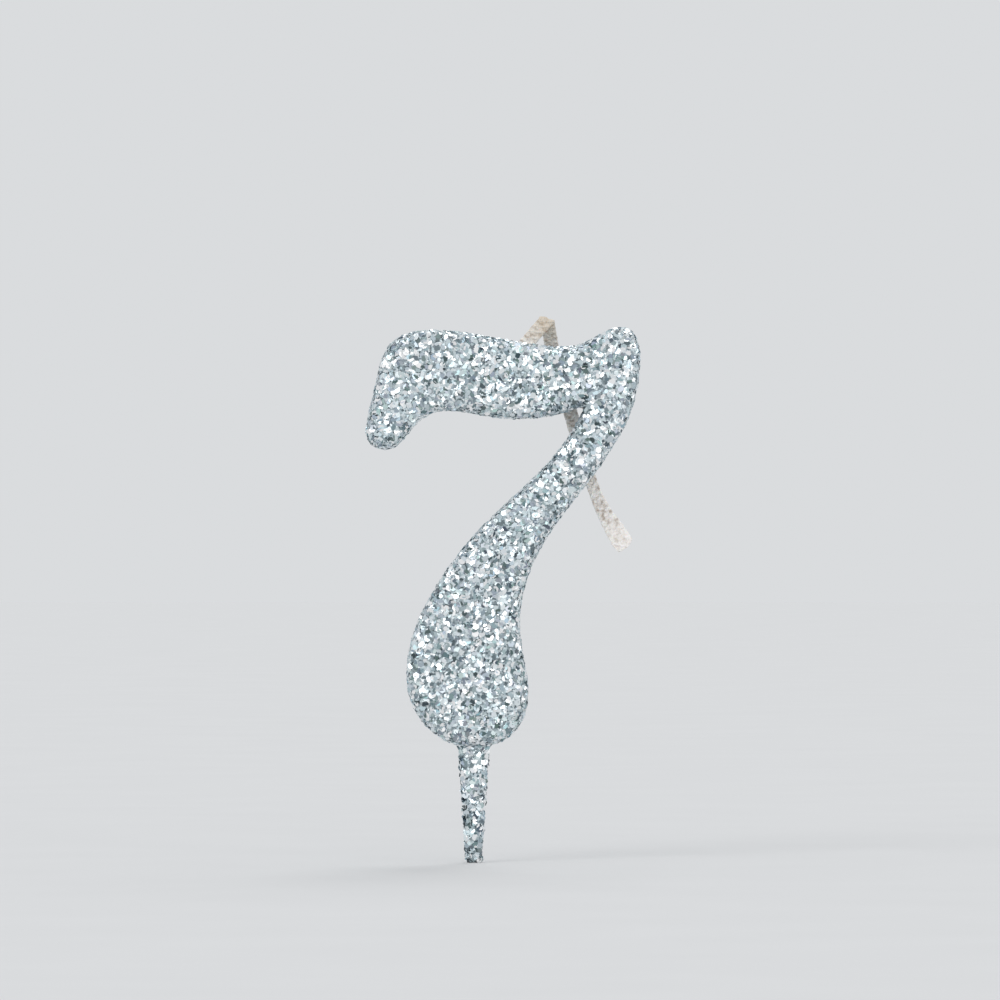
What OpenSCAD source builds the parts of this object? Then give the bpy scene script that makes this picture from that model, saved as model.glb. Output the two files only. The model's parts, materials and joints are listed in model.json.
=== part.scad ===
// Number birthday candle: the digit 7, cast in wax around a plastic cake pick and coated in
// glitter lacquer, with a flat braided wick folded over and down behind the digit.
//
// X runs to the right, the front of the digit faces -Y and Z is up. The origin is on the pick's
// axis, level with the top of the cake and halfway through the digit's thickness.

/* [Digit] */
// Height of the digit above the cake
digit_h = 59; // [52:1:80]
// Thickness of the coated digit, front to back
digit_t = 7; // [6:0.5:9]
// Radius of the digit's front edge
front_r = 1.5; // [1:0.1:1.8]
// Radius of the digit's back edge
back_r = 0.8; // [0.6:0.1:1]
// Thickness of the glitter lacquer on the digit
coat_t = 0.3; // [0.2:0.05:0.4]

/* [Pick] */
// Length of the blade that goes into the cake
blade_l = 16.5; // [12:0.5:30]
// Width of the coated blade at the top
blade_w = 4.4; // [4.2:0.1:4.6]
// Width of the coated blade at its tip
tip_w = 2.2; // [2:0.1:3]
// Thickness of the coated blade at the top
blade_t = 2.6; // [2.4:0.1:3]
// Thickness of the coated blade at its tip
tip_t = 1.8; // [1.6:0.1:2.2]
// Thickness of the glitter lacquer on the blade
blade_coat_t = 0.25; // [0.15:0.05:0.3]
// Length of the tang inside the wax
tang_l = 15; // [13:1:18]

/* [Wick] */
// Width of the flat braid
wick_w = 2.1; // [1.8:0.1:2.2]
// Thickness of the flat braid
wick_t = 0.9; // [0.7:0.1:1]
// Length of the wick that is set in the wax
wick_set = 8; // [5:0.5:9]
// Gap between the folded wick and the back of the digit
wick_gap = 0.25; // [0.2:0.05:0.5]

/* [Hidden] */

// The outline and the wick's route are drawn for a digit of this height, then scaled.
drawn_h = 59;
grow = digit_h / drawn_h;

// Outline of the coated digit in X and Z: a start point, then Bezier curves that each add two
// handles and an end point. A row of one point is a straight line.
outline_start = [15.8, 48.2];
outline_curves = [
    // under the bar and round the hook
    [[14.2, 47.0], [10.0, 46.0], [6.0, 46.0]],
    [[2.0, 46.0], [-0.8, 47.2], [-3.8, 47.2]],
    [[-6.2, 47.2], [-7.8, 45.9], [-9.2, 44.1]],
    [[-10.2, 42.9], [-10.9, 41.7], [-12.5, 41.7]],
    [[-14.1, 41.7], [-15.4, 42.8], [-15.2, 44.6]],
    [[-14.9, 47.4], [-13.9, 50.4], [-13.3, 53.4]],
    // along the top of the bar to the corner lobe
    [[-12.6, 56.7], [-10.5, 58.6], [-6.0, 58.6]],
    [[-1.9, 58.6], [2.3, 57.5], [6.5, 56.9]],
    [[8.8, 56.5], [10.7, 56.2], [13.0, 56.2]],
    [[16.5, 56.2], [18.0, 59.0], [20.8, 59.0]],
    [[22.6, 59.0], [23.5, 57.0], [23.5, 54.5]],
    // down the right of the stem and round the foot
    [[23.5, 50.5], [22.3, 46.1], [19.7, 42.2]],
    [[16.4, 36.8], [11.6, 32.2], [9.1, 27.2]],
    [[7.2, 23.6], [6.5, 20.2], [6.5, 17.0]],
    [[6.5, 13.4], [7.7, 10.8], [7.7, 7.4]],
    [[7.7, 3.6], [5.8, 0.8], [2.4, 0.0]],
    [[-2.4, 0.0]],
    // up the left of the stem to the inner corner
    [[-5.8, 0.9], [-9.5, 4.7], [-9.5, 9.5]],
    [[-9.5, 15.5], [-7.3, 19.5], [-3.6, 25.1]],
    [[0.7, 31.5], [6.8, 35.7], [10.6, 40.0]],
    [[13.2, 43.0], [14.6, 45.3], [15.8, 48.2]]
];
steps_per_curve = 6;
front_steps = 4;
back_steps = 2;
// Width of the flat rim that the edge band adds inside the front edge, and the furthest that a
// sharp inner corner moves for each millimetre of inset.
band_w = 0.3;
most_mitre = 1.3;
// Thickness of the thin slices that the blade is drawn between, and the steps round a corner and
// round a full circle.
slice = 0.01;
corner_fn = 16;
round_fn = 32;

// Pick: the bare moulding under its coat, and its tang.
tang_w = 3.4;
tang_t = 2;
tang_bevel = 1;
barb_depth = 0.5;
barb_h = 2.2;
barb_first = 2.2;
barb_pitch = 4;
barbs = 3;
key_r = 0.8;
key_first = 3.2;
key_pitch = 6;
keys = 2;
blade_corner_r = 0.5;
tip_corner_r = 0.4;

// Wick: its centreline runs from the wax, through the bend at the root and the fold, and down
// behind the digit. The second number of each point goes from 0 where the wick is set in the
// wax to 1 behind the digit.
wick_y = 1.2;
back_y = digit_t / 2 + wick_gap + wick_t / 2;
wick_route = [
    [7.5, 0, 56.8],
    [8.55, 0, 58.0],
    [10.3, 0, 60.0],
    [10.6, 0.4, 58.6],
    [10.85, 0.76, 57.3],
    [11.1, 0.96, 55.8],
    [11.7, 1, 53.6],
    [12.8, 1, 50.0],
    [13.8, 1, 46.5],
    [14.8, 1, 43.0],
    [15.9, 1, 39.4],
    [17.1, 1, 35.8],
    [18.6, 1, 32.6],
    [20.0, 1, 30.3],
    [20.9, 1, 28.7],
    [20.9, 1, 27.4]
];
// Width of the braid at each point of the tail, as a share of wick_w: it spreads at its cut end.
tail_spread = [1, 1, 1, 1, 1, 1, 1, 1, 0.95, 0.85, 1.1, 1.38, 1.5, 0.5];
wick_points = [for (p = wick_route) [p.x * grow, wick_y + p.y * (back_y - wick_y), p.z * grow]];
wick_exit = wick_points[0];
root_bend = wick_points[1];
fold = wick_points[2];
tail_points = [for (i = [2 : len(wick_points) - 1]) wick_points[i]];
// Tilt of the wick where it leaves the digit, from upright, and of the fold's crest, from level.
wick_tilt = atan2(fold.x - wick_exit.x, fold.z - wick_exit.z);
fold_tilt = 15;
// Angle between the two strands of the fold, seen along its crest.
fold_gap_angle = 44;
// Room left round the bends, so that one length of wick turns freely on the next.
bend_gap = 0.05;
braid_sides = 8;
cut_size = 4;

function unit(v) = v / norm(v);
function bezier(a, b, c, d, t) =
    pow(1 - t, 3) * a + 3 * pow(1 - t, 2) * t * b + 3 * (1 - t) * t * t * c + pow(t, 3) * d;
function curve_start(i) =
    i == 0 ? outline_start : outline_curves[i - 1][len(outline_curves[i - 1]) - 1];
function curve_points(i) = len(outline_curves[i]) == 1
    ? outline_curves[i]
    : [for (s = [1 : steps_per_curve])
        bezier(curve_start(i), outline_curves[i][0], outline_curves[i][1], outline_curves[i][2],
            s / steps_per_curve)];
outline = [for (i = [0 : len(outline_curves) - 1]) for (p = curve_points(i)) p * grow];
// The outline runs clockwise, so its inside is on the right of each edge.
function edge_normal(i) = let (
    n = len(outline),
    edge = unit(outline[(i + 1) % n] - outline[(i + n) % n])
) [edge.y, -edge.x];
function mitre(i) = let (
    before = edge_normal(i - 1),
    after = edge_normal(i),
    full = (before + after) / (1 + before * after)
) full * min(1, most_mitre / norm(full));
inward = [for (i = [0 : len(outline) - 1]) mitre(i)];

// Stands a shape that is drawn in the XY plane up in the XZ plane, centred on Y = 0.
module upright(t) {
    rotate([90, 0, 0]) linear_extrude(t, center = true) children();
}

// The rounded edge of the digit as a closed band: every point of the outline, stepped round the
// edge profile. Each step of the profile is an inset from the outline and a place in Y.
module edge_band(profile) {
    steps = len(profile);
    count = len(outline);
    corners = [for (p = profile) for (i = [0 : count - 1])
        let (q = outline[i] + p.x * inward[i]) [q.x, p.y, q.y]];
    faces = [for (j = [0 : steps - 1]) for (i = [0 : count - 1]) let (
        a = j * count + i,
        b = j * count + (i + 1) % count,
        c = ((j + 1) % steps) * count + i,
        d = ((j + 1) % steps) * count + (i + 1) % count
    ) each [[a, b, c], [b, d, c]]];
    polyhedron(corners, faces);
}

// The digit with rounded edges, smaller all round by inset.
module digit(inset) {
    half = digit_t / 2 - inset;
    front = front_r - inset;
    back = back_r - inset;
    flat_inset = front_r + band_w;
    back_arc = [for (i = [0 : back_steps]) let (a = 90 * i / back_steps)
        [inset + back * (1 - sin(a)), half - back * (1 - cos(a))]];
    front_arc = [for (i = [0 : front_steps]) let (a = 90 * i / front_steps)
        [inset + front * (1 - cos(a)), -half + front * (1 - sin(a))]];
    edge_band(concat([[flat_inset, half]], back_arc, front_arc, [[flat_inset, -half]]));
    upright(2 * half) polygon([for (i = [0 : len(outline) - 1]) outline[i] + flat_inset * inward[i]]);
}

// A slab with rounded corners at height z.
module blade_section(w, t, r, z) {
    translate([0, 0, z]) linear_extrude(slice) offset(r = r, $fn = corner_fn)
        square([w - 2 * r, t - 2 * r], center = true);
}

// The tapered blade of the pick, smaller all round by inset.
module blade(inset) {
    hull() {
        blade_section(blade_w - 2 * inset, blade_t - 2 * inset, blade_corner_r, -slice);
        blade_section(tip_w - 2 * inset, tip_t - 2 * inset, tip_corner_r, inset - blade_l);
    }
}

// The tang: a flat bar with a barb on each edge at every step, and holes that the wax fills.
module tang() {
    edge = [for (i = [0 : barbs - 1]) let (z = barb_first + i * barb_pitch)
        each [[tang_w / 2, z], [tang_w / 2 + barb_depth, z], [tang_w / 2, z + barb_h]]];
    top = [[tang_w / 2, tang_l - tang_bevel], [tang_w / 2 - tang_bevel, tang_l]];
    right = concat([[tang_w / 2, 0]], edge, top);
    left = [for (i = [len(right) - 1 : -1 : 0]) [-right[i].x, right[i].y]];
    difference() {
        upright(tang_t) polygon(concat(right, left));
        for (i = [0 : keys - 1])
            translate([0, 0, key_first + i * key_pitch]) rotate([90, 0, 0])
                cylinder(r = key_r, h = 2 * tang_t, center = true, $fn = round_fn);
    }
}

// A straight length of the braid: the digit's end of it is at the origin and it rises along +Z.
module braid(l) {
    linear_extrude(l) hull() for (side = [-1, 1])
        translate([side * (wick_w - wick_t) / 2, 0]) circle(d = wick_t, $fn = round_fn);
}

// Places a shape in the line of the wick where it leaves the digit, with its origin at p.
module along_wick(p) {
    translate(p) rotate([0, wick_tilt, 0]) children();
}

// Places a shape on the fold, with X along the crest.
module on_fold() {
    translate(fold) rotate([0, fold_tilt, 0]) children();
}

// What lies near the fold on one side of the plane that halves it: side 1 is the tail's and -1 is
// the stub's.
module fold_side(side) {
    on_fold() rotate([fold_gap_angle / 2, 0, 0])
        translate([0, side * (cut_size - bend_gap) / 2, 0]) cube(cut_size, center = true);
}

// What lies above the crest of the fold.
module past_fold() {
    on_fold() translate([0, 0, cut_size / 2]) cube(cut_size, center = true);
}

// Round pin shape about the bend at the root, across the width of the braid.
module root_knuckle(clear) {
    translate(root_bend) rotate([90, 0, 0])
        cylinder(r = wick_w / 2 + clear, h = wick_t + 2 * clear, center = true, $fn = round_fn);
}

// Round crest of the fold.
module crest(clear) {
    on_fold() rotate([0, 90, 0])
        cylinder(r = wick_t / 2 + clear, h = wick_w + 4 * clear, center = true, $fn = round_fn);
}

// The wick in the wax, and as far as the bend at its root.
module set_wick() {
    along_wick(wick_exit) translate([0, 0, -wick_set])
        braid(wick_set + norm(root_bend - wick_exit));
}

// One ring of the tail's tube: its corners round the centreline at point i.
function tail_ring(i) = let (
    last = len(tail_points) - 1,
    along = unit(tail_points[min(i + 1, last)] - tail_points[max(i - 1, 0)]),
    crest_dir = [cos(fold_tilt), 0, -sin(fold_tilt)],
    across = unit(crest_dir - (crest_dir * along) * along),
    outward = cross(along, across)
) [for (s = [0 : braid_sides - 1]) let (a = 360 * (s + 0.5) / braid_sides)
    tail_points[i]
        + across * cos(a) * tail_spread[i] * wick_w / 2 / cos(180 / braid_sides)
        + outward * sin(a) * wick_t / 2 / cos(180 / braid_sides)];

// The tail as a tube through its rings, closed at both ends.
module tail_tube() {
    rings = len(tail_points);
    corners = [for (i = [0 : rings - 1]) each tail_ring(i)];
    walls = [for (i = [0 : rings - 2]) for (s = [0 : braid_sides - 1]) let (
        a = i * braid_sides + s,
        b = i * braid_sides + (s + 1) % braid_sides
    ) each [[a, a + braid_sides, b], [b, a + braid_sides, b + braid_sides]]];
    first = [for (s = [0 : braid_sides - 1]) s];
    last = [for (s = [braid_sides - 1 : -1 : 0]) (rings - 1) * braid_sides + s];
    polyhedron(corners, concat(walls, [first, last]));
}

module wax_body() {
    color("ivory") difference() {
        digit(coat_t);
        tang();
        set_wick();
    }
}

module digit_coat() {
    color("silver") difference() {
        digit(0);
        digit(coat_t);
        tang();
        set_wick();
    }
}

module pick() {
    color("gainsboro") {
        tang();
        blade(blade_coat_t);
    }
}

module pick_coat() {
    color("silver") difference() {
        blade(0);
        blade(blade_coat_t);
    }
}

module wick_root() {
    color("antiquewhite") difference() {
        set_wick();
        root_knuckle(bend_gap);
    }
}

module wick_stub() {
    color("antiquewhite") difference() {
        union() {
            root_knuckle(0);
            along_wick(root_bend) braid(norm(fold - root_bend));
        }
        crest(bend_gap);
        past_fold();
        fold_side(1);
    }
}

module wick_tail() {
    color("antiquewhite") {
        crest(0);
        difference() {
            tail_tube();
            fold_side(-1);
        }
    }
}

wax_body();
digit_coat();
pick();
pick_coat();
wick_root();
wick_stub();
wick_tail();
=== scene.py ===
"""Number birthday candle: the looks of the digit 7, its pick and its wick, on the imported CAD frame.

Metres, in the CAD frame: X is right, the front faces -Y and Z is up. The origin is on the pick's
axis, level with the top of the cake.
"""

import json
import math

import bmesh
import bpy
import numpy as np
from mathutils import Matrix, Vector


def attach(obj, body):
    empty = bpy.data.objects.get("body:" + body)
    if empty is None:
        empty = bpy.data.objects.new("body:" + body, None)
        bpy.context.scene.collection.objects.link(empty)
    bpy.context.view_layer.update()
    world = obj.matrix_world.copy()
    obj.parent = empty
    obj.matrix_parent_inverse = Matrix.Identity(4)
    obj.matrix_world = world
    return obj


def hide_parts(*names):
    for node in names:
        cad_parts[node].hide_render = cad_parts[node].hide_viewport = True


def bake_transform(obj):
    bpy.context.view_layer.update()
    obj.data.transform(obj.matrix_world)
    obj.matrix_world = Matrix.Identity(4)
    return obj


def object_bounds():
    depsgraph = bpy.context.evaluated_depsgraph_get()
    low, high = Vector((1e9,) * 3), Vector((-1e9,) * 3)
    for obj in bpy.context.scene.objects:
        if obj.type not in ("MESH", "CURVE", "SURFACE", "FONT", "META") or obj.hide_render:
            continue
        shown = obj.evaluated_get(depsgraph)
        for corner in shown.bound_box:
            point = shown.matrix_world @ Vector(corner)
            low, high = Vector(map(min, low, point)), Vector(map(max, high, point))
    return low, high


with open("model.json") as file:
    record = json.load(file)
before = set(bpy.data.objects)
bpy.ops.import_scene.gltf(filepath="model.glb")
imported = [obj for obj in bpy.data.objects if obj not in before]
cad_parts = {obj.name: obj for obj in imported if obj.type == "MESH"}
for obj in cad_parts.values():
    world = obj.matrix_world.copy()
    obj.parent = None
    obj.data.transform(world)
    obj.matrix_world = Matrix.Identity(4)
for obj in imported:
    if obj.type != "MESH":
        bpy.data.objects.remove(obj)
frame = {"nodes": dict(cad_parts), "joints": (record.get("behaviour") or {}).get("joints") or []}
CAD_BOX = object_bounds()
MM = 0.001

# Camera: level, square to the front of the digit, and far away, so that there is little perspective.
VIEW_CENTRE = Vector((3.7, 0, 34.6)) * MM
VIEW_WIDTH = 141 * MM
LENS = 300
SENSOR = 36

# Wick: a flat braid. Its route runs from where it leaves the digit, through the bend at its root
# and the fold, and down behind the digit. TAIL_SPREAD holds its width at each point from the fold
# on, as a share of WICK_W.
WICK_W = 2.1 * MM
WICK_T = 0.9 * MM
WICK_SET = 8 * MM
WICK_ROUTE = [
    (0.0075, 0.0012, 0.0568),
    (0.00855, 0.0012, 0.0580),
    (0.0103, 0.0012, 0.0600),
    (0.0106, 0.0024, 0.0586),
    (0.01085, 0.00348, 0.0573),
    (0.0111, 0.00408, 0.0558),
    (0.0117, 0.0042, 0.0536),
    (0.0128, 0.0042, 0.0500),
    (0.0138, 0.0042, 0.0465),
    (0.0148, 0.0042, 0.0430),
    (0.0159, 0.0042, 0.0394),
    (0.0171, 0.0042, 0.0358),
    (0.0186, 0.0042, 0.0326),
    (0.0200, 0.0042, 0.0303),
    (0.0209, 0.0042, 0.0287),
    (0.0209, 0.0042, 0.0274),
]
TAIL_SPREAD = [1, 1, 1, 1, 1, 1, 1, 1, 0.95, 0.85, 1.1, 1.38, 1.5, 1.5]
ROOT_POINT = 1
FOLD_POINT = 2
# How many stations the stub and the fold have, and the tail between two points of the route, and at how
# many points the tail's centre line is taken.
STUB_STEPS = 60
FOLD_STEPS = 18
TAIL_STEPS = 10
CORD_STEPS = 40
# Lengths along the braid: where the stub's piece meets the fold's, how much braid the fold takes,
# how far past it the tail's piece starts, and how far neighbouring pieces run into each other.
STUB_SEAM = 2.4 * MM
FOLD_LENGTH = 0.5 * MM
TAIL_SEAM = 2.7 * MM
SEAM_LAP = 0.1 * MM
# The cut end: how far its tip reaches past the route, how far the edges stop short of the tip, and
# where the tip is, as a share of the half width.
TIP_REACH = 0.3 * MM
CUT_RIGHT = 1.6 * MM
CUT_LEFT = 1.1 * MM
TIP_AT = -0.2
# The braid: half the width and thickness of a strand and of the core, the length in which a strand
# comes back to its place, and how far it winds out of the middle.
STRANDS = 5
STRAND_W = 0.31 * MM
STRAND_T = 0.22 * MM
BRAID_PERIOD = 5.0 * MM
BRAID_DEPTH = 0.20 * MM
CORE_W = 1.0 * MM
CORE_T = 0.26 * MM
BRAID_STEP = 0.08 * MM
BRAID_VOXEL = 0.06 * MM
BRAID_SMOOTHING = 2

# Coat: a skin of lacquer round the wax and the pick, set in a little from the CAD surface, with
# flakes of glitter in it. The slot for the wick is filled up to just below the wick's exit.
COAT_VOXEL = 0.28 * MM
COAT_SMOOTHING = 6
COAT_T = 0.2 * MM
COAT_INSET = 0.12 * MM
SLOT_DEPTH = 0.1 * MM
# Flakes: their radius and the shares of it that they run between, the share of the skin's points
# that get one, how much they tilt, as a slope, how far they stand out at most, how deep they go, as
# a share of the radius, and how large the ones on the edge are beside the others.
FLAKE_R = 0.44 * MM
FLAKE_SIZES = (0.55, 1.2)
FLAKE_SHARE = 0.30
FLAKE_TILT = 0.24
FLAKE_LIFT = 0.06 * MM
FLAKE_DEPTH = 0.4
EDGE_FLAKE = 0.75
# How squarely the skin faces the front or back where the edge starts, as a cosine, and how far
# that varies from flake to flake.
EDGE_TURN = 0.75
EDGE_BLUR = 0.15
# The room left for the wick, to each side of its middle and above a height.
WICK_ROOM_W = 0.6 * WICK_W
WICK_ROOM_T = 0.7 * WICK_T
WICK_ROOM_Z = 50 * MM
SEED = 7

# Studio: the room's brightness, and the floor's colour, which makes it look as bright as the room.
ROOM_COLOUR = (0.70, 0.715, 0.73)
FLOOR_COLOUR = (0.715, 0.718, 0.722)
FLOOR_MOTTLE = 0.012
FLOOR_R = 3.0
FLOOR_GAP = 0.02 * MM


# ---------------------------------------------------------------- camera

def make_camera():
    """A level camera at the viewing angle of the reference picture."""
    data = bpy.data.cameras.new("camera")
    data.lens = LENS
    data.sensor_width = SENSOR
    camera = bpy.data.objects.new("camera", data)
    camera.location = VIEW_CENTRE - Vector((0, VIEW_WIDTH * LENS / SENSOR, 0))
    camera.rotation_euler = (math.radians(90), 0, 0)
    bpy.context.scene.collection.objects.link(camera)
    bpy.context.scene.camera = camera


# ---------------------------------------------------------------- mesh helpers

def mesh_object(name, verts, faces):
    """A new object in the scene from points and faces."""
    mesh = bpy.data.meshes.new(name)
    mesh.from_pydata([tuple(v) for v in verts], [], faces)
    mesh.validate()
    obj = bpy.data.objects.new(name, mesh)
    bpy.context.scene.collection.objects.link(obj)
    return obj


def vectors(items, key):
    """The vectors that a mesh's items hold under a key, as an array."""
    flat = np.empty(len(items) * 3, np.float32)
    items.foreach_get(key, flat)
    return flat.reshape(-1, 3).astype(float)


def apply_modifiers(obj):
    """Replaces the object's mesh by what its modifiers make of it."""
    graph = bpy.context.evaluated_depsgraph_get()
    made = bpy.data.meshes.new_from_object(obj.evaluated_get(graph))
    obj.modifiers.clear()
    obj.data = made


def remesh(obj, voxel, smoothing):
    """Fuses everything in the mesh into one closed skin and smooths it. Voxels under 0.1 mm are
    refused, so the work is done at a thousand times the size."""
    obj.data.transform(Matrix.Scale(1 / MM, 4))
    fuse = obj.modifiers.new("fuse", "REMESH")
    fuse.mode = "VOXEL"
    fuse.voxel_size = voxel / MM
    smooth = obj.modifiers.new("smooth", "SMOOTH")
    smooth.factor = 0.5
    smooth.iterations = smoothing
    apply_modifiers(obj)
    obj.data.transform(Matrix.Scale(MM, 4))
    obj.data.shade_smooth()


# ---------------------------------------------------------------- wick

def unit(v):
    """The vector, or each vector of an array, at a length of 1."""
    return v / np.linalg.norm(v, axis=-1, keepdims=True)


def turned(v, axis, angle):
    """Vector v turned about a unit axis by an angle in radians."""
    return np.array(Matrix.Rotation(angle, 3, Vector(axis)) @ Vector(v))


def smooth_line(points, first_direction, steps):
    """A Catmull-Rom curve through the points that leaves the first one in a given direction."""
    before = points[1] - 2 * first_direction * np.linalg.norm(points[1] - points[0])
    ends = np.vstack([before, points, 2 * points[-1] - points[-2]])
    line = [points[0]]
    for a, b, c, d in zip(ends, ends[1:], ends[2:], ends[3:]):
        for t in np.linspace(0, 1, steps + 1)[1:]:
            line.append(0.5 * (2 * b + (c - a) * t + (2 * a - 5 * b + 4 * c - d) * t * t
                               + (3 * b - a - 3 * c + d) * t ** 3))
    return np.array(line)


class BraidLine:
    """The wick's own coordinates: s along it, w across it and h out of its outer face, which is
    the front of the stub and the back of the tail."""

    def __init__(self):
        joint = next(j for j in frame["joints"] if j["name"] == "wick_fold")
        route = np.array(WICK_ROUTE)
        self.crest = np.array(joint["axis"], float)
        self.exit = route[0]
        self.fold = route[FOLD_POINT]
        self.rows = []
        self.add_stub()
        self.add_fold(route)
        self.add_tail(route)
        rows = np.array(self.rows)
        self.s, self.centre, self.across, self.out = rows[:, 0], rows[:, 1:4], rows[:, 4:7], rows[:, 7:]
        self.length = self.s[-1]

    def add(self, s, centre, across, along, share=1.0):
        """A station: the braid keeps its width where its section runs aslant across it."""
        slant = np.linalg.norm(np.cross(unit(across), unit(along)))
        out = unit(np.cross(across, along))
        self.rows.append([s, *centre, *(unit(across) * share / slant), *out])

    def add_stub(self):
        """Straight up to the fold; the sections turn from square to in line with its crest."""
        self.up = unit(self.fold - self.exit)
        square = unit(np.cross(self.up, [0, -1, 0]))
        self.fold_at = np.linalg.norm(self.fold - self.exit)
        for s in np.linspace(-WICK_SET, self.fold_at, STUB_STEPS):
            t = np.clip(s / STUB_SEAM, 0, 1)
            self.add(s, self.exit + s * self.up, (1 - t) * square + t * self.crest, self.up)

    def add_fold(self, route):
        """Round the crest, with every section in line with it."""
        slope = self.up @ self.crest
        rise = unit(self.up - slope * self.crest)
        down = unit(route[FOLD_POINT + 1] - self.fold)
        fall = unit(down - (down @ self.crest) * self.crest)
        turn = math.acos(np.clip(rise @ fall, -1, 1))
        for i in range(1, FOLD_STEPS + 1):
            a = i / FOLD_STEPS
            along = slope * self.crest + math.sqrt(1 - slope ** 2) * turned(rise, self.crest, -turn * a)
            self.add(self.fold_at + FOLD_LENGTH * a, self.fold, self.crest, along)
        self.tail_start = unit(along)

    def add_tail(self, route):
        """Down behind the digit; the sections turn from the crest's line to square."""
        knots = route[FOLD_POINT:]
        line = smooth_line(knots, self.tail_start, TAIL_STEPS)
        far = np.concatenate([[0], np.cumsum(np.linalg.norm(np.diff(line, axis=0), axis=1))])
        shares = np.interp(np.arange(len(line)) / TAIL_STEPS, np.arange(len(knots)), TAIL_SPREAD)
        directions = unit(np.gradient(line, far, axis=0))
        for d, point, along, share in list(zip(far, line, directions, shares))[1:]:
            t = np.clip(d / TAIL_SEAM, 0, 1)
            square = unit(self.crest - (self.crest @ along) * along)
            across = (1 - t) * self.crest + t * square
            self.add(self.fold_at + FOLD_LENGTH + d, point, across, along, share)
        tip = point + TIP_REACH * along
        self.add(self.fold_at + FOLD_LENGTH + d + TIP_REACH, tip, across, along, share)

    def place(self, swh):
        """Points in the frame for points in the wick's own coordinates."""
        s, w, h = swh.T
        at = [np.stack([np.interp(s, self.s, part[:, k]) for k in range(3)], axis=1)
              for part in (self.centre, self.across, self.out)]
        return at[0] + w[:, None] * at[1] + h[:, None] * unit(at[2])


def tube(s, w, h, half_w, half_h, sides=12, squareness=1.0):
    """A closed tube in the wick's coordinates. Its section is an ellipse, or squarer than one."""
    angles = (np.arange(sides) + 0.5) * 2 * math.pi / sides
    wide = np.sign(np.cos(angles)) * abs(np.cos(angles)) ** (1 / squareness)
    high = np.sign(np.sin(angles)) * abs(np.sin(angles)) ** (1 / squareness)
    rings = np.stack([
        np.repeat(s[:, None], sides, axis=1),
        w[:, None] + half_w[:, None] * wide,
        h[:, None] + half_h * high,
    ], axis=2).reshape(-1, 3)
    first = list(range(sides))
    second = first[1:] + first[:1]
    faces = [[k + a, k + b, k + sides + b, k + sides + a]
             for k in range(0, (len(s) - 1) * sides, sides) for a, b in zip(first, second)]
    faces += [first[::-1], [(len(s) - 1) * sides + a for a in first]]
    return rings, faces


def braid_tubes(start, end):
    """The strands of the braid and the wax-filled core that they wind round, from s to s."""
    s = np.arange(start, end + BRAID_STEP, BRAID_STEP)
    reach = WICK_W / 2 - STRAND_W
    for strand in range(STRANDS):
        u = 2 * math.pi * (s / BRAID_PERIOD + strand / STRANDS)
        slope = reach * 2 * math.pi / BRAID_PERIOD * np.sin(u)
        half_w = STRAND_W * np.sqrt(1 + slope ** 2)
        yield tube(s, reach * np.cos(u), BRAID_DEPTH * np.sin((STRANDS - 1) * u), half_w, STRAND_T)
    yield tube(s, 0 * s, 0 * s, CORE_W + 0 * s, CORE_T, sides=48, squareness=3.5)


def cut_end(swh, line):
    """Stops the braid at its slanting cut: each point past it goes back to it."""
    share = np.clip(swh[:, 1] / (WICK_W / 2), -1, 1)
    short = np.interp(share, [-1, TIP_AT, 1], [CUT_LEFT, 0, CUT_RIGHT])
    swh[:, 0] = np.minimum(swh[:, 0], line.length - short)
    return swh


def braid_piece(name, line, start, end):
    """One length of the braid as a single closed mesh, soaked in wax."""
    verts, faces, count = [], [], 0
    for rings, quads in braid_tubes(start, end):
        verts.append(line.place(cut_end(rings, line)))
        faces += [[count + i for i in face] for face in quads]
        count += len(rings)
    obj = mesh_object(name, np.vstack(verts), faces)
    remesh(obj, BRAID_VOXEL, BRAID_SMOOTHING)
    return obj


def make_wick():
    """The wick in three lengths: its root, its fold and its tail."""
    line = BraidLine()
    tail_at = line.fold_at + FOLD_LENGTH + TAIL_SEAM
    root = braid_piece("wick_root_braid", line, -WICK_SET, STUB_SEAM + SEAM_LAP)
    fold = braid_piece("wick_fold_braid", line, STUB_SEAM - SEAM_LAP, tail_at + SEAM_LAP)
    tail = braid_piece("wick_tail_braid", line, tail_at - SEAM_LAP, line.length)
    finish = wick_finish(line)
    for piece in (root, fold, tail):
        piece.data.materials.append(finish)

    bend = np.array(WICK_ROUTE[ROOT_POINT])
    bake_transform(root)
    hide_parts("wick_root", "wick_stub")
    tail_side = unit(line.tail_start - (line.tail_start @ line.crest) * line.crest)
    stub_side = unit(-line.up + (line.up @ line.crest) * line.crest)
    halving = unit(tail_side - stub_side)
    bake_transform(fold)
    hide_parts("wick_tail")
    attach(tail, "wick_upper")
    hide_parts("wick_tail")
    steps = np.linspace(tail_at, line.length, CORD_STEPS)
    path = line.place(np.stack([steps, 0 * steps, 0 * steps], axis=1))
    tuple(WICK_ROUTE[0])
    return line


# ---------------------------------------------------------------- coat and glitter

def add_node(bm, name, move=None):
    """Adds a CAD node's mesh to a bmesh, with its points moved by a function."""
    mesh = frame["nodes"][name].data.copy()
    if move:
        for vertex in mesh.vertices:
            vertex.co = move(vertex.co)
    bm.from_mesh(mesh)
    bpy.data.meshes.remove(mesh)


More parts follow.
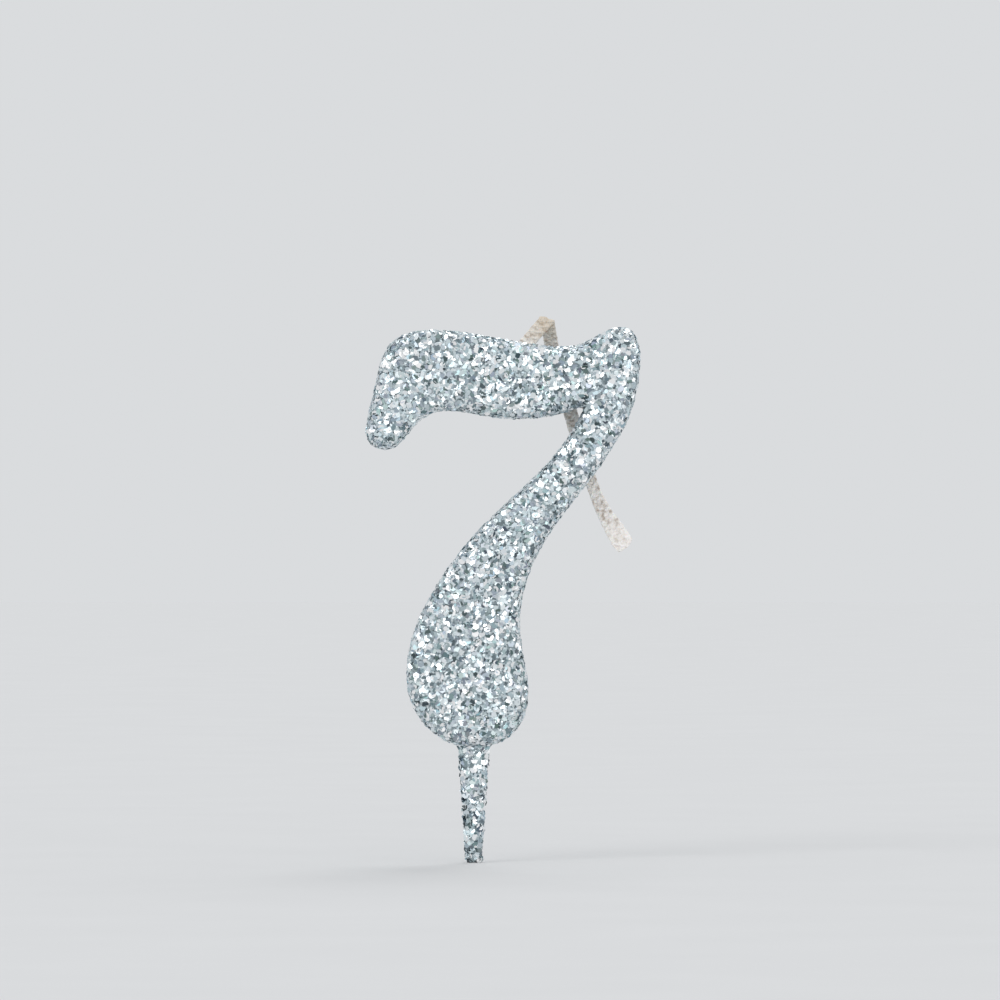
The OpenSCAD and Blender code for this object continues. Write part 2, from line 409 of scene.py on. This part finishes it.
def coated_shape(line):
    """The outside of the coated digit and pick as one closed, smooth skin. The wick's own root
    fills its slot, with its top slid down into it."""
    level = line.exit[2] - SLOT_DEPTH

    def slid(point):
        over = max(0.0, point.z - level)
        return point - Vector(line.up) * (over / line.up[2])

    bm = bmesh.new()
    for name in ("wax_body", "digit_coat", "pick", "pick_coat"):
        add_node(bm, name)
    add_node(bm, "wick_root", slid)
    mesh = bpy.data.meshes.new("coated_shape")
    bm.to_mesh(mesh)
    bm.free()
    obj = bpy.data.objects.new("coated_shape", mesh)
    bpy.context.scene.collection.objects.link(obj)
    remesh(obj, COAT_VOXEL, COAT_SMOOTHING)
    inset = obj.modifiers.new("inset", "DISPLACE")
    inset.strength = -COAT_INSET
    inset.mid_level = 0
    apply_modifiers(obj)
    return obj


def lacquer_piece(shape, name, above):
    """The lacquer on one side of the cake's surface: the skin cut level, then given thickness."""
    obj = shape.copy()
    obj.name = name
    obj.data = shape.data.copy()
    bpy.context.scene.collection.objects.link(obj)
    bm = bmesh.new()
    bm.from_mesh(obj.data)
    bmesh.ops.bisect_plane(bm, geom=bm.verts[:] + bm.edges[:] + bm.faces[:], plane_co=(0, 0, 0),
                           plane_no=(0, 0, 1), clear_inner=above, clear_outer=not above)
    bm.to_mesh(obj.data)
    bm.free()
    thick = obj.modifiers.new("thickness", "SOLIDIFY")
    thick.thickness = COAT_T
    thick.offset = -1
    apply_modifiers(obj)
    obj.data.shade_smooth()
    return obj


def flake_places(shape, line, rng):
    """Where flakes go and how the surface faces there: near a share of the skin's points, picked at
    random, with room left for the wick."""
    points = vectors(shape.data.vertices, "co")
    normals = unit(vectors(shape.data.vertex_normals, "vector"))
    keep = rng.random(len(points)) < FLAKE_SHARE
    points, normals = points[keep], normals[keep]
    slide = rng.uniform(-0.5, 0.5, (len(points), 3)) * COAT_VOXEL
    points = points + slide - (slide * normals).sum(1, keepdims=True) * normals
    away = points - line.exit
    across = unit(np.cross(line.up, [0, -1, 0]))
    by_wick = (abs(away @ across) < WICK_ROOM_W) & (abs(away[:, 1]) < WICK_ROOM_T)
    clear = ~(by_wick & (points[:, 2] > WICK_ROOM_Z))
    return points[clear], normals[clear]


def flakes(name, points, normals, size, rng):
    """Hexagonal glitter flakes, each tilted at random and closed by a point sunk in the lacquer."""
    count = len(points)
    side = unit(np.cross(normals, rng.normal(size=(count, 3))))
    other = np.cross(normals, side)
    tilt = rng.normal(0, FLAKE_TILT, (count, 2))
    facing = unit(normals + tilt[:, :1] * side + tilt[:, 1:] * other)
    side = unit(side - (side * facing).sum(1, keepdims=True) * facing)
    other = np.cross(facing, side)
    radius = size * rng.uniform(*FLAKE_SIZES, (count, 1))
    middle = points + normals * FLAKE_LIFT * rng.uniform(0, 1, (count, 1))
    rings = []
    for k in range(6):
        angle = k * math.pi / 3
        rings.append(middle + radius * (math.cos(angle) * side + math.sin(angle) * other))
    rings.append(middle - facing * radius * FLAKE_DEPTH)
    verts = np.stack(rings, axis=1).reshape(-1, 3)
    faces = []
    for first in range(0, count * 7, 7):
        faces.append([first + k for k in range(6)])
        faces += [[first + (k + 1) % 6, first + k, first + 6] for k in range(6)]
    return mesh_object(name, verts, faces)


def make_lacquer(shape):
    """The lacquer on the digit and on the pick."""
    finish = lacquer_finish()
    for name, coat, above in (("digit_lacquer", "digit_coat", True), ("pick_lacquer", "pick_coat", False)):
        piece = lacquer_piece(shape, name, above)
        piece.data.materials.append(finish)
        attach(piece, "candle")
        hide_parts(coat)


def make_glitter(shape, line):
    """The glitter on the digit's front, back and edge and on the pick."""
    rng = np.random.default_rng(SEED)
    points, normals = flake_places(shape, line, rng)
    glitter = glitter_finish("glitter_flake", 0.0, 1.0)
    # Painted sheen: flakes on the edges get paler, less contrasting colours, never near black, standing in
    # for the soft pale band of reflected light along the edges.
    edge_sheen_finish = glitter_finish("glitter_flake_at_edge", 0.3, 0.95)
    on_pick = points[:, 2] < 0
    facing = normals[:, 1] + rng.uniform(-EDGE_BLUR, EDGE_BLUR, len(points))
    zones = (
        ("glitter_front", ~on_pick & (facing < -EDGE_TURN), 1, glitter),
        ("glitter_back", ~on_pick & (facing > EDGE_TURN), 1, glitter),
        ("glitter_edge", ~on_pick & (abs(facing) <= EDGE_TURN), EDGE_FLAKE, edge_sheen_finish),
        ("glitter_pick", on_pick, 1, glitter),
    )
    for name, zone, size, finish in zones:
        piece = flakes(name, points[zone], normals[zone], size * FLAKE_R, rng)
        piece.data.materials.append(finish)
        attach(piece, "candle")


def make_coat(line):
    """The lacquer and the glitter in it, made on one skin."""
    shape = coated_shape(line)
    make_lacquer(shape)
    make_glitter(shape, line)
    bpy.data.objects.remove(shape)


# ---------------------------------------------------------------- materials

def new_finish(name, **values):
    """A material with its Principled shader's own values set."""
    material = bpy.data.materials.new(name)
    material.use_nodes = True
    shader = material.node_tree.nodes["Principled BSDF"]
    for socket, value in values.items():
        shader.inputs[socket.replace("_", " ")].default_value = value
    return material, material.node_tree, shader


def node(tree, kind, *links, **settings):
    """A shader node with its settings, and its inputs, by name or number, linked or set."""
    made = tree.nodes.new("ShaderNode" + kind)
    for key, value in settings.items():
        setattr(made, key, value)
    for key, source in links:
        if isinstance(source, bpy.types.NodeSocket):
            tree.links.new(source, made.inputs[key])
        else:
            made.inputs[key].default_value = source
    return made


def ramp(tree, factor, *stops):
    """A colour ramp with these (place, colour) stops."""
    made = node(tree, "ValToRGB", ("Fac", factor))
    elements = made.color_ramp.elements
    while len(elements) < len(stops):
        elements.new(0.5)
    for element, (place, colour) in zip(elements, stops):
        element.position = place
        element.color = (*colour, 1)
    return made.outputs["Color"]


def spread_out(tree, value, low, high, start=0.0, end=1.0):
    """A value that runs from start to end, mapped to low to high and kept between them."""
    made = node(tree, "MapRange", ("Value", value), ("From Min", start), ("From Max", end),
                ("To Min", low), ("To Max", high))
    return made.outputs["Result"]


def mixed(tree, factor, below, above, blend_type="MIX"):
    """Two colours mixed. The Mix node's colours are its inputs 6 and 7 and its output 2."""
    made = node(tree, "Mix", ("Factor", factor), (6, below), (7, above), data_type="RGBA",
                blend_type=blend_type)
    return made.outputs[2]


def bump(tree, shader, height, distance, strength=1.0):
    """Bump from a height in the range 0 to 1, as deep as a distance in metres."""
    made = node(tree, "Bump", ("Height", height), ("Distance", distance), ("Strength", strength))
    tree.links.new(made.outputs["Normal"], shader.inputs["Normal"])


def noise(tree, place, scale, detail=3.0):
    """Cloudy noise in the range 0 to 1."""
    made = node(tree, "TexNoise", ("Vector", place), ("Scale", scale), ("Detail", detail))
    return made.outputs["Fac"]


def glitter_finish(name, darkest, brightest):
    """Silver flakes: each has a painted brightness from near black to white, dark flakes standing in for
    mirrored dark surroundings and white ones for mirrored lamps, with a hint of its own colour and its own
    polish.
    """
    material, tree, shader = new_finish(name, Metallic=1.0)
    island = node(tree, "NewGeometry").outputs["Random Per Island"]
    # Painted reflection: the base colour sets how dark or bright each flake looks, dark ones standing in
    # for mirrored dark surroundings and white ones for mirrored lamps.
    level = spread_out(tree, island, darkest, brightest)
    painted_glint_tone = ramp(tree, level,
                (0.0, (0.07, 0.10, 0.11)), (0.12, (0.20, 0.26, 0.28)), (0.34, (0.44, 0.53, 0.57)),
                (0.66, (0.79, 0.87, 0.90)), (0.9, (1.0, 1.0, 1.0)))
    dice = node(tree, "TexWhiteNoise", ("W", island), noise_dimensions="1D")
    tint = mixed(tree, 0.12, painted_glint_tone, dice.outputs["Color"], "SOFT_LIGHT")
    tree.links.new(tint, shader.inputs["Base Color"])
    tree.links.new(spread_out(tree, dice.outputs["Value"], 0.14, 0.42), shader.inputs["Roughness"])
    place = node(tree, "TexCoord").outputs["Object"]
    bump(tree, shader, noise(tree, place, 9000), 0.01 * MM, 0.4)
    return material


def lacquer_finish():
    """Fine glitter dust in grey lacquer, which shows between the flakes: every grain of it is a cell with
    its own tilt and a painted brightness, dark grains standing in for mirrored dark surroundings and
    bright ones for mirrored lamps."""
    material, tree, shader = new_finish("glitter_lacquer", Metallic=1.0)
    place = node(tree, "TexCoord").outputs["Object"]
    grain = node(tree, "TexVoronoi", ("Vector", place), ("Scale", 3400.0))
    grey = node(tree, "SeparateColor", ("Color", grain.outputs["Color"]))
    # Painted reflection: each grain's base colour runs from dark to near white, standing in for mirrored
    # dark surroundings and lamps.
    painted_glint_tone = ramp(tree, grey.outputs["Red"],
                (0.0, (0.14, 0.18, 0.20)), (0.5, (0.42, 0.50, 0.53)), (1.0, (0.88, 0.95, 0.97)))
    tree.links.new(painted_glint_tone, shader.inputs["Base Color"])
    tree.links.new(spread_out(tree, grey.outputs["Green"], 0.22, 0.5), shader.inputs["Roughness"])
    tilt = node(tree, "VectorMath", (0, grain.outputs["Color"]), (1, (-0.5, -0.5, -0.5)), operation="ADD")
    scaled = node(tree, "VectorMath", (0, tilt.outputs["Vector"]), ("Scale", 0.9), operation="SCALE")
    upright = node(tree, "NewGeometry").outputs["Normal"]
    facing = node(tree, "VectorMath", (0, scaled.outputs["Vector"]), (1, upright), operation="ADD")
    straight = node(tree, "VectorMath", (0, facing.outputs["Vector"]), operation="NORMALIZE")
    tree.links.new(straight.outputs["Vector"], shader.inputs["Normal"])
    return material


def wick_finish(line):
    """Waxed cotton: cream, mottled where the wax is thin, with painted shade in the braid's grooves and a
    painted brown shade round the fold, and whiter at the cut end."""
    material, tree, shader = new_finish("waxed_cotton", Specular_IOR_Level=0.45, Sheen_Weight=0.25,
                                        Sheen_Roughness=0.5, Subsurface_Weight=0.15,
                                        Subsurface_Scale=0.4 * MM)
    shader.inputs["Subsurface Radius"].default_value = (1.0, 0.8, 0.6)
    place = node(tree, "TexCoord").outputs["Object"]
    blotches = noise(tree, place, 1500, 4)
    cream = ramp(tree, blotches, (0.34, (0.54, 0.46, 0.40)), (0.46, (0.84, 0.79, 0.74)),
                 (0.56, (0.97, 0.95, 0.92)))
    from_fold = node(tree, "VectorMath", (0, place), (1, tuple(line.fold)), operation="DISTANCE")
    away = from_fold.outputs["Value"]
    # Painted shade: brown near the fold, where the pressed strands of the crease lie in shade.
    near = spread_out(tree, away, 0.65, 0.0, start=1 * MM, end=5 * MM)
    shaded_at_fold = mixed(tree, near, cream, (0.58, 0.48, 0.35, 1))
    tip = spread_out(tree, away, 0.0, 0.55, start=29 * MM, end=33 * MM)
    frayed = mixed(tree, tip, shaded_at_fold, (0.98, 0.95, 0.92, 1))
    grain = node(tree, "Mapping", ("Vector", place), ("Scale", (6000, 6000, 1800)))
    fibres = noise(tree, grain.outputs["Vector"], 1, 4)
    shade = ramp(tree, fibres, (0.35, (0.74, 0.71, 0.68)), (0.55, (1, 1, 1)))
    woven = mixed(tree, 0.45, frayed, shade, "MULTIPLY")
    # Painted shade: the braid's hollows, found by pointiness, are darkened towards brown as if shade fell
    # in them.
    hollow = node(tree, "NewGeometry").outputs["Pointiness"]
    groove_shade = spread_out(tree, hollow, 0.7, 0.0, start=0.40, end=0.50)
    groove_shaded = mixed(tree, groove_shade, woven, (0.46, 0.38, 0.31, 1))
    tree.links.new(groove_shaded, shader.inputs["Base Color"])
    tree.links.new(spread_out(tree, blotches, 0.75, 0.4), shader.inputs["Roughness"])
    bump(tree, shader, fibres, 0.04 * MM, 0.6)
    return material


def wax_finish():
    """Cast paraffin wax: soft ivory, slightly cloudy, with faint ripples from the mould."""
    material, tree, shader = new_finish("paraffin_wax", Subsurface_Weight=0.6, Subsurface_Scale=2 * MM)
    shader.inputs["Subsurface Radius"].default_value = (1.0, 0.8, 0.6)
    place = node(tree, "TexCoord").outputs["Object"]
    cloud = noise(tree, place, 220)
    tree.links.new(ramp(tree, cloud, (0.3, (0.80, 0.78, 0.70)), (0.7, (0.93, 0.92, 0.88))),
                   shader.inputs["Base Color"])
    tree.links.new(spread_out(tree, cloud, 0.35, 0.55), shader.inputs["Roughness"])
    bump(tree, shader, noise(tree, place, 700), 0.03 * MM, 0.5)
    return material


def pick_finish():
    """Moulded polypropylene: milky white, with flow lines along the pick."""
    material, tree, shader = new_finish("polypropylene", Subsurface_Weight=0.3, Subsurface_Scale=1 * MM)
    place = node(tree, "TexCoord").outputs["Object"]
    flow = node(tree, "Mapping", ("Vector", place), ("Scale", (1800, 1800, 250)))
    lines = noise(tree, flow.outputs["Vector"], 1.0, 2.0)
    tree.links.new(ramp(tree, lines, (0.3, (0.78, 0.79, 0.80)), (0.7, (0.90, 0.90, 0.90))),
                   shader.inputs["Base Color"])
    tree.links.new(spread_out(tree, lines, 0.25, 0.4), shader.inputs["Roughness"])
    bump(tree, shader, lines, 0.02 * MM, 0.4)
    return material


def dress_cad_nodes():
    """Gives the CAD nodes that stay their materials."""
    for name, finish in (("wax_body", wax_finish()), ("pick", pick_finish())):
        mesh = frame["nodes"][name].data
        mesh.materials.clear()
        mesh.materials.append(finish)


# ---------------------------------------------------------------- studio

def make_floor():
    """A wide, faintly mottled pale floor, just under the pick's tip."""
    bm = bmesh.new()
    bmesh.ops.create_circle(bm, cap_ends=True, segments=96, radius=FLOOR_R)
    mesh = bpy.data.meshes.new("floor")
    bm.to_mesh(mesh)
    bm.free()
    floor = bpy.data.objects.new("floor", mesh)
    floor.location = (0, 0, CAD_BOX[0].z - FLOOR_GAP)
    bpy.context.scene.collection.objects.link(floor)
    material, tree, shader = new_finish("pale_floor", Roughness=1.0, Specular_IOR_Level=0.0)
    place = node(tree, "TexCoord").outputs["Object"]
    paler = tuple(c + FLOOR_MOTTLE for c in FLOOR_COLOUR)
    tree.links.new(ramp(tree, noise(tree, place, 40), (0.3, FLOOR_COLOUR), (0.7, paler)),
                   shader.inputs["Base Color"])
    mesh.materials.append(material)


def soft_light(name, direction, angle, strength):
    """A broad, even light from a direction: as wide as an angle in degrees, with no fall-off, so
    that the floor is lit alike everywhere and runs into the room without a line."""
    data = bpy.data.lights.new(name, "SUN")
    data.angle = math.radians(angle)
    data.energy = strength
    light = bpy.data.objects.new(name, data)
    light.location = direction
    light.rotation_euler = Vector(direction).to_track_quat("Z", "Y").to_euler()
    bpy.context.scene.collection.objects.link(light)


def make_lights():
    """A pale room with a key light on the left, a fill on the right, a weak light in front and one
    high behind."""
    soft_light("key", (-0.55, -0.75, 0.53), 34, 0.66)
    soft_light("fill", (0.65, -0.80, 0.12), 28, 0.27)
    soft_light("front", (0.10, -1.00, 0.32), 24, 0.21)
    soft_light("back", (0.20, 0.70, 0.68), 30, 0.60)
    world = bpy.data.worlds.new("room")
    world.use_nodes = True
    world.node_tree.nodes["Background"].inputs["Color"].default_value = (*ROOM_COLOUR, 1)
    bpy.context.scene.world = world
    bpy.context.scene.view_settings.view_transform = "Standard"


make_camera()
wick_line = make_wick()
make_coat(wick_line)
dress_cad_nodes()
make_floor()
make_lights()
